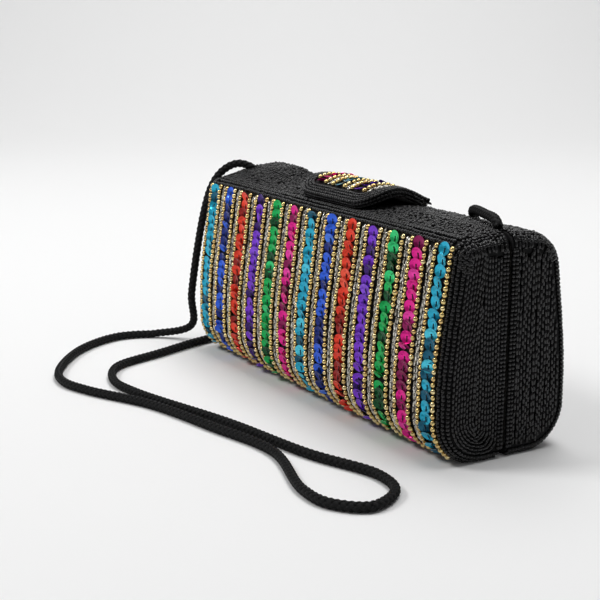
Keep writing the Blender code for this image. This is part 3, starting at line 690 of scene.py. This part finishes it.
def scatter(batch, side, s_high, reach, rng):
    """Beads sewn every way over the top of one half."""
    places_x, places_s = [], []
    rows = int((s_high - SCATTER_START) / (SCATTER_PITCH * 0.88))
    for row in range(rows):
        x = np.arange((row % 2) * SCATTER_PITCH / 2 - reach, reach, SCATTER_PITCH)
        places_x.append(x)
        places_s.append(np.full(len(x), SCATTER_START + (row + 0.5) * (s_high - SCATTER_START) / rows))
    x = np.concatenate(places_x)
    s = np.concatenate(places_s)
    count = len(x)
    x = x + rng.normal(0.0, 0.17, count) * SCATTER_PITCH
    s = np.clip(s + rng.normal(0.0, 0.17, count) * SCATTER_PITCH, SCATTER_START, s_high)
    places, facing = on_wall(side, x, s, SEED_PROUD)
    places = places + facing * rng.normal(0.0, 0.16 * MM, count)[:, None]
    frames = frames_from(np.tile([1.0, 0.0, 0.0], (count, 1)), facing, 1.0 + rng.normal(0.0, 0.06, count))
    frames = turned(frames, rng.uniform(0.0, math.pi, count), 2)
    frames = turned(frames, rng.normal(0.0, 0.4, count), 1)
    batch.add(SHAPES["seed"], places, frames, rng.choice(MIXED, count))


def rough_rows(batch, s_low, s_high, x_low, x_high, rng):
    """Upright rows of beads down the back, not quite straight or even."""
    s = np.linspace(s_low, s_high, 60)
    for x in np.arange(x_low, x_high, BACK_ROW_PITCH):
        drift = 0.3 * MM * np.sin(s / (11.0 * MM) + rng.uniform(0.0, 6.0))
        thread = on_wall("back", x + drift, s, SEED_PROUD)
        string_of(batch, "back_row", thread, rng, first=rng.uniform(0.4, 1.0))


PIPING_ACROSS = (1.9 * MM, 3.6 * MM, 5.3 * MM)
PIPING_TOP = 81.5 * MM
PIPING_PROUD = 0.5 * MM
CAP_FIRST = 6.9 * MM
CAP_PITCH = 1.36 * MM
CAP_TOP = {"front": 82.4 * MM, "back": 83.2 * MM}
CAP_BEAD_PROUD = 0.36 * MM
SEAM_ROWS = (1.5 * MM, 3.0 * MM)
SEAM_ROW_TOP = 82.5 * MM
CAP_FROM_SEAM = 4.5 * MM
CAP_CORNER_RADIUS = 4.2 * MM
CAP_ROWS = 8
LEG_FROM_MIDDLE = 0.3 * MM
MIDDLE_ROW_FOOT = 17.0 * MM


def below_top_corner(points, normals):
    """The part of an outline from where it has turned down the long wall."""
    first = int(np.argmax(normals[:, 1] < 0.16))
    return points[first:]


def u_row(side, across, from_seam, top):
    """(depth, height) down the long edge, round the foot and up beside the seam."""
    points, normals = outline(side, end_turn(across)[1], from_seam)
    leg = below_top_corner(points, normals)
    direction = (leg[0] - leg[2]) / np.linalg.norm(leg[0] - leg[2])
    start = leg[0] + direction * (top - leg[0, 1]) / direction[1]
    foot = leg[-1, 1]
    radius = min(CAP_CORNER_RADIUS, (leg[:, 0].max() - from_seam) * 0.45)
    turn = [
        (from_seam + radius - radius * math.sin(angle), foot + radius - radius * math.cos(angle))
        for angle in np.linspace(0.0, math.pi / 2, 8)
    ]
    keep = leg[leg[:, 0] > from_seam + radius]
    return resample(np.vstack([start[None, :], keep, np.array(turn), [(from_seam, top)]]), 260)


def front_cap_rows(batch, end, rng):
    """Rows nested one inside the next, and one straight row in the middle."""
    top = CAP_TOP["front"]
    outer = u_row("front", CAP_FIRST, CAP_FROM_SEAM, top)
    long_leg = outer[: len(outer) // 3]
    order = np.argsort(long_leg[:, 1])

    def middle_of(heights):
        return (np.interp(heights, long_leg[order, 1], long_leg[order, 0]) + CAP_FROM_SEAM) / 2

    heights = np.linspace(top - 1.0 * MM, MIDDLE_ROW_FOOT, 120)
    flat = np.column_stack([middle_of(heights), heights])
    string_of(batch, "cap_middle", on_end("front", end, flat, CAP_BEAD_PROUD * 0.8), rng)
    for row in range(CAP_ROWS):
        offset = row * CAP_PITCH
        own_top = top + rng.uniform(-0.8, 0.8) * MM
        flat = u_row("front", CAP_FIRST + offset, CAP_FROM_SEAM + offset, own_top)
        lowest = int(np.argmin(flat[:, 1]))
        past_middle = flat[:, 0] - middle_of(flat[:, 1])
        downward = np.arange(len(flat)) < lowest
        own_side = np.where(downward, past_middle > LEG_FROM_MIDDLE, past_middle < -LEG_FROM_MIDDLE)
        flat = flat[own_side | (flat[:, 1] < flat[lowest, 1] + 2 * CAP_CORNER_RADIUS)]
        thread = on_end("front", end, flat, CAP_BEAD_PROUD)
        string_of(batch, "cap_nested", thread, rng, first=rng.uniform(0.5, 1.0))


def back_cap_rows(batch, end, rng):
    """Upright rows of short tubes, not quite even, side by side up to the edge's piping."""
    inset = end_turn(CAP_FIRST)[1]
    wall = below_top_corner(*outline("back", inset, CAP_FROM_SEAM))
    order = np.argsort(wall[:, 1])
    for depth in np.arange(CAP_FROM_SEAM, wall[:, 0].max(), CAP_PITCH * 1.02):
        heights = np.linspace(inset, CAP_TOP["back"] + rng.uniform(-1.0, 1.5) * MM, 160)
        reach = np.interp(heights, wall[order, 1], wall[order, 0])
        heights = heights[reach > depth + 0.3 * MM]
        if len(heights) < 8:
            continue
        drift = 0.22 * MM * np.sin(heights / (9.0 * MM) + rng.uniform(0.0, 6.0))
        thread = on_end("back", end, np.column_stack([depth + drift, heights]), CAP_BEAD_PROUD)
        string_of(batch, "cap_upright", thread, rng, first=rng.uniform(0.1, 1.1))


def end_beads(name, side, end, rng):
    """All the black beads on one end of one half: piping, cap rows, seam rows and the top edge's tubes."""
    batch = Batch()
    for across in PIPING_ACROSS:
        line, facing = end_line(side, end, across, SEAM_START)
        below = line[:, 2] < PIPING_TOP + (across - PIPING_ACROSS[0])
        string_of(batch, "end_piping", (line[below] + facing[below] * PIPING_PROUD, facing[below]), rng)
    if side == "front":
        front_cap_rows(batch, end, rng)
    else:
        back_cap_rows(batch, end, rng)
    for depth in SEAM_ROWS:
        flat = np.column_stack([np.full(80, depth), np.linspace(SEAM_ROW_TOP, STRIPE_FOOT, 80)])
        string_of(batch, "seam_row", on_end(side, end, flat, SEAM_PROUD), rng)
    top_edge_beads(batch, side, end, rng)
    black_beads(batch, name, f"{side}_half")


TOP_EDGE_LOW = 79.0 * MM
TOP_EDGE_FROM_SEAM = SEAM_START + 0.7 * MM
ROUNDED_ROWS_ACROSS = np.arange(0.8, 5.2, 1.42) * MM
ROUNDED_PROUD = 0.42 * MM
BUGLE_ACROSS = (4.6 * MM, 6.9 * MM)
BUGLE_PITCH = 1.62 * MM
BUGLE_PROUD = 0.5 * MM


def top_edge_beads(batch, side, end, rng):
    """Seed beads sewn every way over the top's rounded end, and short tubes hanging from it."""
    for across in ROUNDED_ROWS_ACROSS:
        line, facing = end_line(side, end, across, TOP_EDGE_FROM_SEAM)
        keep = line[:, 2] > TOP_EDGE_LOW
        thread = (line[keep] + facing[keep] * ROUNDED_PROUD, facing[keep])
        string_of(batch, "rounded_end", thread, rng, first=rng.uniform(0.4, 1.0))
    for across in BUGLE_ACROSS:
        line, facing = end_line(side, end, across, TOP_EDGE_FROM_SEAM)
        keep = line[:, 2] > TOP_EDGE_LOW - across * 0.6
        line, facing = line[keep], facing[keep]
        targets = np.arange(0.8 * MM, lengths_along(line)[-1], BUGLE_PITCH)
        targets = targets + rng.normal(0.0, 0.2 * MM, len(targets))
        targets = targets[rng.random(len(targets)) < 0.88]
        count = len(targets)
        places, normals, along = along_line(line, facing, targets)
        hanging = np.cross(normals, along)
        frames = frames_from(hanging, normals, 1.0 + rng.normal(0.0, 0.08, count))
        frames = turned(frames, rng.normal(0.0, 0.22, count), 2)
        places = places + normals * BUGLE_PROUD + hanging * rng.normal(0.0, 0.35 * MM, count)[:, None]
        batch.add(SHAPES["bugle"], places, frames, rng.choice((0, 1, 2), count))


FRONT_PIPING_BELOW_TOP = (0.7 * MM, 2.35 * MM, 4.5 * MM, 6.15 * MM)
FRONT_PIPING_PROUD = 0.78 * MM
FRONT_PIPING_WAVE = 0.24 * MM
BACK_SHOULDER_HEIGHT = 80.0 * MM
TOP_REACH = FLAT_REACH + 0.6 * MM


def top_and_wall_beads(rng):
    """Black beads on the tops of both halves and on the back."""
    piping_rows = distance_round("front", STRIPE_TOP) - np.array(FRONT_PIPING_BELOW_TOP)
    shoulder = distance_round("back", BACK_SHOULDER_HEIGHT)
    foot = distance_round("back", LOWEST_ROW["back"])
    for side, top_end in (("front", piping_rows[-1] - 2.0 * MM), ("back", shoulder)):
        batch = Batch()
        for s in piping_rows if side == "front" else ():
            wall_row(batch, "front_piping", side, s, TOP_REACH, rng, FRONT_PIPING_PROUD, FRONT_PIPING_WAVE)
        wall_row(batch, "top_seam_row", side, 0.0, TOP_REACH, rng, SEAM_PROUD)
        scatter(batch, side, top_end, TOP_REACH, rng)
        black_beads(batch, f"beads_{side}_top", f"{side}_half")
    for name, low, high in (("left", -TOP_REACH, 0.0), ("right", 0.4 * MM, TOP_REACH)):
        batch = Batch()
        rough_rows(batch, shoulder + 0.8 * MM, foot, low, high, rng)
        black_beads(batch, f"beads_back_{name}", "back_half")


def base_piping(rng):
    """One row of beads along the foot of each long wall."""
    for side in ("front", "back"):
        batch = Batch()
        foot = distance_round(side, LOWEST_ROW[side]) + 1.4 * MM
        wall_row(batch, "base_edge", side, foot, FLAT_REACH, rng, 0.25 * MM)
        black_beads(batch, f"beads_{side}_base_edge", f"{side}_half")


# ---- Cloth

COVER_END_STEPS = 6
COVER_STATIONS = 66
BASE_CLOTH_TOP = 1.0 * MM
COVER_SHARP = 40.0


def cover_cloth(side):
    """The cloth that the beads are sewn to: a tray, padded here and there, turned in at the seam."""
    stations = []
    for step in range(COVER_END_STEPS, -1, -1):
        angle = math.pi / 2 * step / COVER_END_STEPS
        stations.append((FLAT_REACH + END_RADIUS * math.sin(angle), END_RADIUS * (1 - math.cos(angle))))
    ends = [(-x, inset) for x, inset in stations]
    middle = [(x, 0.0) for x in np.linspace(-FLAT_REACH, FLAT_REACH, COVER_STATIONS)[1:-1]]
    whole = ends + middle + stations[::-1]

    def skin(extra, lift):
        rows = []
        for x, further in whole:
            points, _ = outline(side, extra + further, SEAM_START)
            points[-1, 0] = BASE_SEAM_START
            places = in_space(side, x, points)
            rows.append(raised(places) if lift else places)
        return np.array(rows)

    outer, inner = skin(0.0, True), skin(COVER_THICKNESS, False)
    rows, count = outer.shape[:2]
    points = np.vstack([outer.reshape(-1, 3), inner.reshape(-1, 3)])
    half = rows * count
    faces, kinds = [], []

    def face(*corners):
        faces.append(corners if side == "front" else tuple(reversed(corners)))
        kinds.append(1 if points[list(corners), 2].max() < BASE_CLOTH_TOP else 0)

    for r in range(rows - 1):
        for k in range(count - 1):
            a, b = r * count + k, (r + 1) * count + k
            face(a, a + 1, b + 1, b)
            face(half + a, half + b, half + b + 1, half + a + 1)
        first, second = r * count, (r + 1) * count
        face(first, second, half + second, half + first)
        last, following = first + count - 1, second + count - 1
        face(last, half + last, half + following, following)
    for end, step in ((0, -1), ((rows - 1) * count, 1)):
        strip = list(range(end, end + count))[::step]
        face(*strip)
        face(*[half + k for k in reversed(strip)])
        face(*(end, half + end, half + end + count - 1, end + count - 1)[::-step])
    cloths = [LOOKS["cloth"], LOOKS["base_cloth"]]
    piece = mesh_of_faces(f"cloth_{side}", points, faces, np.array(kinds), cloths, COVER_SHARP)
    settle(piece, f"{side}_half", f"{side}_cover")


# ---- Tab

def tab_line():
    """Points along the tab's middle line from its tip, as (y, z), with upward normals."""
    path = smooth_path([(y * MM, z * MM, 0.0) for y, z in TAB_PATH], 90)[:, :2]
    along = tangents_of(path)
    return path, np.column_stack([-along[:, 1], along[:, 0]])


def on_tab(x, t, proud):
    """Places and upward normals on the tab, at x across it and t along it from its tip."""
    path, normals = tab_line()
    x, t = np.broadcast_arrays(x, t)
    normal = unit(at_length(path, normals, t))
    flat = at_length(path, path, t) + normal * proud
    return np.column_stack([x, flat]), np.column_stack([np.zeros_like(x), normal])


def tab_length():
    return lengths_along(tab_line()[0])[-1]


TAB_CORNER_STEPS = 12


def tab_border(inset, count=LINE_POINTS):
    """The tab's edge, moved in by inset: up its left side from the sewn edge, round the tip and back."""
    half = TAB_HALF_WIDTH - inset
    radius = max(TAB_CORNER_RADIUS - inset, 1.0 * MM)
    turns = [math.pi / 2 * step / TAB_CORNER_STEPS for step in range(TAB_CORNER_STEPS + 1)]
    points = [(-half, tab_length())]
    for angle in turns:
        points.append((-half + radius - radius * math.cos(angle), inset + radius - radius * math.sin(angle)))
    for angle in turns:
        points.append((half - radius + radius * math.sin(angle), inset + radius - radius * math.cos(angle)))
    points.append((half, tab_length()))
    return resample(np.array(points), count)


TAB_SEQUIN_LIFT = 0.7 * MM
TAB_SEQUIN_ROLL = -10.0
BORDER_ROWS_WIDTH = 6.9 * MM
STRING_END = 0.6 * MM
SEQUINS_END = 1.0 * MM

# Rows of beads round the tab, as (mm in from its edge, mm above its top surface), and how many points the
# rows on the tab's side lose at each end, next to the sewn edge.
SIDE_ROW_TRIM = 7
TAB_BORDER_ROWS = [(0.15, -2.3), (0.05, -0.9), (0.35, 0.45), (1.9, 0.6), (3.5, 0.6), (5.1, 0.6)]


def tab_string_line(x, proud, end=STRING_END):
    """A line along the tab at x, from inside the border rows to the sewn edge."""
    return on_tab(x, np.linspace(tab_clear(x), tab_length() - end, 60), proud)


def tab_pieces(rng):
    """The tab's border rows, its sequins, its gold and silver strings and its cloth."""
    batch = Batch()
    for inset, proud in TAB_BORDER_ROWS:
        border = tab_border(inset * MM)
        line, facing = on_tab(border[:, 0], border[:, 1], proud * MM)
        if proud < 0.0:
            line, facing = line[SIDE_ROW_TRIM:-SIDE_ROW_TRIM], facing[SIDE_ROW_TRIM:-SIDE_ROW_TRIM]
        string_of(batch, "tab_border", (line, facing), rng)
    black_beads(batch, "tab_border_beads", "closure_tab")
    for colour, centre in TAB_SEQUIN_CENTRES.items():
        thread = tab_string_line(centre, SEQUIN_PROUD, end=SEQUINS_END)
        name = f"tab_sequins_{colour}"
        piece = sequin_string(name, thread, colour, rng, TAB_SEQUIN_LIFT, TAB_SEQUIN_ROLL)
        settle(piece, "closure_tab", f"tab_sequin_string_{colour}")
    batch = Batch()
    for centre in TAB_SEQUIN_CENTRES.values():
        for side in (-1.0, 1.0):
            string_of(batch, "gold", tab_string_line(centre + side * BEAD_FROM_SEQUIN, GOLD_PROUD), rng)
    for middle in TAB_SILVER_CENTRES:
        silver_strings(batch, middle, lambda x: tab_string_line(x, SILVER_PROUD), rng)
    piece = batch.finish("tab_bead_strings", LOOKS["gold"] + LOOKS["silver"])
    settle(piece, "closure_tab")
    tab_cloth()


def tab_clear(x):
    """How far back from the tip a string at this x starts, to stay inside the border rows."""
    border = tab_border(BORDER_ROWS_WIDTH)
    front = border[border[:, 1] < TAB_CORNER_RADIUS + BORDER_ROWS_WIDTH]
    order = np.argsort(front[:, 0])
    return float(np.interp(x, front[order, 0], front[order, 1]))


# The rounded edge of the tab's cloth, as (mm in from its edge, mm below its top surface).
TAB_ROUNDED_EDGE = [(0.0, 1.0), (0.22, 0.62), (0.5, 0.32), (1.2, 0.0)]
TAB_CLOTH_THICKNESS = 1.0 * MM
TAB_CLOTH_SHARP = 50.0


def tab_cloth():
    """The tab's cloth: rounded at its edges, where it turns down round the board."""
    count = LINE_POINTS // 2
    edge_rings, top_rings, low_rings = [], [], []
    for inset, drop in TAB_ROUNDED_EDGE:
        border = tab_border(inset * MM, count)
        edge_rings.append(on_tab(border[:, 0], border[:, 1], -drop * MM)[0])
    for share in (0.75, 0.5, 0.25, 0.0):
        top_rings.append(on_tab(border[:, 0] * share, border[:, 1], 0.0)[0])
        low_rings.append(on_tab(border[:, 0] * share, border[:, 1], -TAB_CLOTH_THICKNESS)[0])
    rings = low_rings[::-1] + edge_rings + top_rings
    starts = [ring * count for ring in range(len(rings))]
    faces = []
    for ring, after in zip(starts, starts[1:]):
        for k in range(count - 1):
            faces.append((ring + k, ring + k + 1, after + k + 1, after + k))
    faces.append(tuple(starts + [start + count - 1 for start in reversed(starts)]))
    kinds = np.zeros(len(faces))
    piece = mesh_of_faces("tab_cloth", np.vstack(rings), faces, kinds, [LOOKS["cloth"]], TAB_CLOTH_SHARP)
    settle(piece, "closure_tab", "tab_cover")


# ---- Cord

BRAID_PITCH = 10.5 * MM
BRAID_STRANDS = 4
BRAID_STEP = 0.52 * MM
STRAND_RING = 1.42 * MM
STRAND_RISE = 0.24 * MM
STRAND_HALF_WIDTH = 0.90 * MM
STRAND_HALF_THICKNESS = 0.43 * MM
STRAND_SIDES = 5
CORD_FINE_POINTS = 1200


def carried_frames(path):
    """Directions across a path that never twist about it."""
    along = tangents_of(path)
    side = np.zeros_like(path)
    current = np.array([0.0, 0.0, 1.0])
    if abs(along[0, 2]) > 0.9:
        current = np.array([1.0, 0.0, 0.0])
    for k in range(len(path)):
        current = current - along[k] * np.dot(current, along[k])
        current = current / np.linalg.norm(current)
        side[k] = current
    return along, side, np.cross(along, side)


def braided_cord():
    """Flat strands wound both ways round the cord's path, each over and under the others."""
    route = [(x * MM, y * MM, z * MM) for x, y, z in CORD_ROUTE]
    length = lengths_along(smooth_path(route, CORD_FINE_POINTS))[-1]
    count = int(length / BRAID_STEP)
    path = smooth_path(route, count)
    path[:, 2] = np.maximum(path[:, 2], CORD_LOWEST)
    along, side, other = carried_frames(path)
    s = lengths_along(path)
    points, faces = [], []
    ring_angles = np.arange(STRAND_SIDES) * 2 * math.pi / STRAND_SIDES + math.pi / 2
    base = 0
    for direction in (1.0, -1.0):
        for strand in range(BRAID_STRANDS):
            angle = direction * 2 * math.pi * s / BRAID_PITCH + strand * 2 * math.pi / BRAID_STRANDS
            radius = STRAND_RING + direction * STRAND_RISE * np.cos(BRAID_STRANDS * angle)
            outward = side * np.cos(angle)[:, None] + other * np.sin(angle)[:, None]
            centre = path + outward * radius[:, None]
            heading = tangents_of(centre)
            across = np.cross(heading, outward)
            rings = [
                centre
                + across * STRAND_HALF_WIDTH * math.cos(a)
                + outward * STRAND_HALF_THICKNESS * math.sin(a)
                for a in ring_angles
            ]
            tube = np.stack(rings, axis=1)
            points.append(tube.reshape(-1, 3))
            index = base + np.arange(count)[:, None] * STRAND_SIDES + np.arange(STRAND_SIDES)[None, :]
            a, b = index[:-1], index[1:]
            quads = np.stack([a, b, np.roll(b, -1, axis=1), np.roll(a, -1, axis=1)], axis=2)
            faces.append(quads.reshape(-1, 4))
            base += count * STRAND_SIDES
    quads = np.vstack(faces)
    kinds, sizes = np.zeros(len(quads)), np.full(len(quads), 4)
    piece = make_mesh("strap_braid", np.vstack(points), quads.ravel(), sizes, kinds, [LOOKS["braid"]])
    settle(piece, "back_half", "strap_cord")


# ---- CAD pieces that stay

def dress_cad():
    """Gives the model's own pieces, which stay, their materials."""
    leaves = [f"{half}_hinge_leaf_{side}" for half in ("front", "back") for side in ("left", "right")]
    dress = {
        "board": ["front_shell", "back_shell", "tab_core"],
        "satin": ["front_lining", "back_lining", "slip_pocket", "tab_backing"],
        "magnet": ["tab_magnet"],
        "steel": leaves + [
            "front_rim_frame", "back_rim_frame", "catch_plate", "strap_eyelet_left", "strap_eyelet_right",
            "hinge_pin_left", "hinge_pin_right",
        ],
    }
    for look, names in dress.items():
        for name in names:
            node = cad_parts[name]
            node.data.materials.clear()
            node.data.materials.append(LOOKS[look])


# ---- Studio

# Each light's place, what it points at, its size and its power.
LIGHTS = {
    "key": ((-0.55, -1.0, 1.25), (0.0, 0.0, 0.0), (0.45, 0.45), 10.5),
    "top": ((0.1, 0.30, 1.5), (0.0, 0.0, 0.0), (0.9, 0.7), 11.0),
    "backdrop": ((-0.9, 0.53, 1.5), (-1.3, 0.77, 0.1), (1.0, 1.6), 9.5),
}
WORLD_STRENGTH = 0.19
CAMERA_SENSOR = 36.0
PAPER_HALF_WIDTH = 4.0
PAPER_NEAR = -2.6
PAPER_FAR = 1.0
PAPER_RADIUS = 0.9
PAPER_SWEEP = math.radians(80.0)
PAPER_STEPS = 24
PAPER_BACK = (0.45, 2.4)


def put_and_aim(thing, place, target):
    thing.location = place
    thing.rotation_euler = (Vector(target) - Vector(place)).to_track_quat("-Z", "Y").to_euler()
    bpy.context.scene.collection.objects.link(thing)


def add_area_light(name, place, target, size, power):
    light = bpy.data.lights.new(name, "AREA")
    light.shape = "RECTANGLE"
    light.size, light.size_y = size
    light.energy = power
    put_and_aim(bpy.data.objects.new(name, light), place, target)


def seamless_floor():
    """Pale paper that lies on the table and sweeps up behind the purse."""
    away = Vector(CAMERA_TARGET) - Vector(CAMERA_PLACE)
    away.z = 0.0
    away.normalize()
    across = Vector((-away.y, away.x, 0.0))
    profile = [(PAPER_NEAR, 0.0), (PAPER_FAR, 0.0)]
    for step in range(1, PAPER_STEPS + 1):
        angle = PAPER_SWEEP * step / PAPER_STEPS
        profile.append((PAPER_FAR + PAPER_RADIUS * math.sin(angle), PAPER_RADIUS * (1 - math.cos(angle))))
    profile.append((profile[-1][0] + PAPER_BACK[0], profile[-1][1] + PAPER_BACK[1]))
    points, faces = [], []
    for reach, height in profile:
        for side in (-PAPER_HALF_WIDTH, PAPER_HALF_WIDTH):
            points.append(tuple(away * reach + across * side + Vector((0.0, 0.0, height))))
    for k in range(len(profile) - 1):
        faces.append((2 * k, 2 * k + 1, 2 * k + 3, 2 * k + 2))
    mesh = bpy.data.meshes.new("paper_floor")
    mesh.from_pydata(points, [], faces)
    mesh.shade_smooth()
    mesh.materials.append(plain("pale_paper", (0.86, 0.86, 0.86), 0.9))
    floor = bpy.data.objects.new("paper_floor", mesh)
    bpy.context.scene.collection.objects.link(floor)


def studio():
    """Lights, paper floor, camera and world."""
    scene = bpy.context.scene
    scene.view_settings.view_transform = "Standard"
    world = bpy.data.worlds.new("studio")
    scene.world = world
    world.use_nodes = True
    background = world.node_tree.nodes["Background"]
    set_sockets(background, Color=(1.0, 1.0, 1.0, 1.0), Strength=WORLD_STRENGTH)
    for name, light in LIGHTS.items():
        add_area_light(name, *light)
    seamless_floor()
    camera = bpy.data.cameras.new("camera")
    camera.lens = CAMERA_LENS
    camera.sensor_width = CAMERA_SENSOR
    scene.camera = bpy.data.objects.new("camera", camera)
    put_and_aim(scene.camera, CAMERA_PLACE, CAMERA_TARGET)


# ---- The whole

seeded = np.random.default_rng
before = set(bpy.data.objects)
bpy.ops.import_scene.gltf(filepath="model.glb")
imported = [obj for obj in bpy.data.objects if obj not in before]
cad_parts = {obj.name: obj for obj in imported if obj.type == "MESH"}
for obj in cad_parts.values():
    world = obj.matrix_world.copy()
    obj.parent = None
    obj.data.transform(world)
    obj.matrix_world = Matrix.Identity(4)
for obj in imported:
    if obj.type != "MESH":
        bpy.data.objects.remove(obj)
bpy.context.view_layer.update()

studio()
LOOKS = make_materials()
braided_cord()
dress_cad()
for half in ("front", "back"):
    cover_cloth(half)
front_stripes(seeded(11))
top_and_wall_beads(seeded(12))
base_piping(seeded(13))
for number, (half, end) in enumerate((("front", 1.0), ("back", 1.0), ("front", -1.0), ("back", -1.0))):
    side_name = "right" if end > 0 else "left"
    end_beads(f"beads_{half}_{side_name}_end", half, end, seeded(20 + number))
tab_pieces(seeded(30))
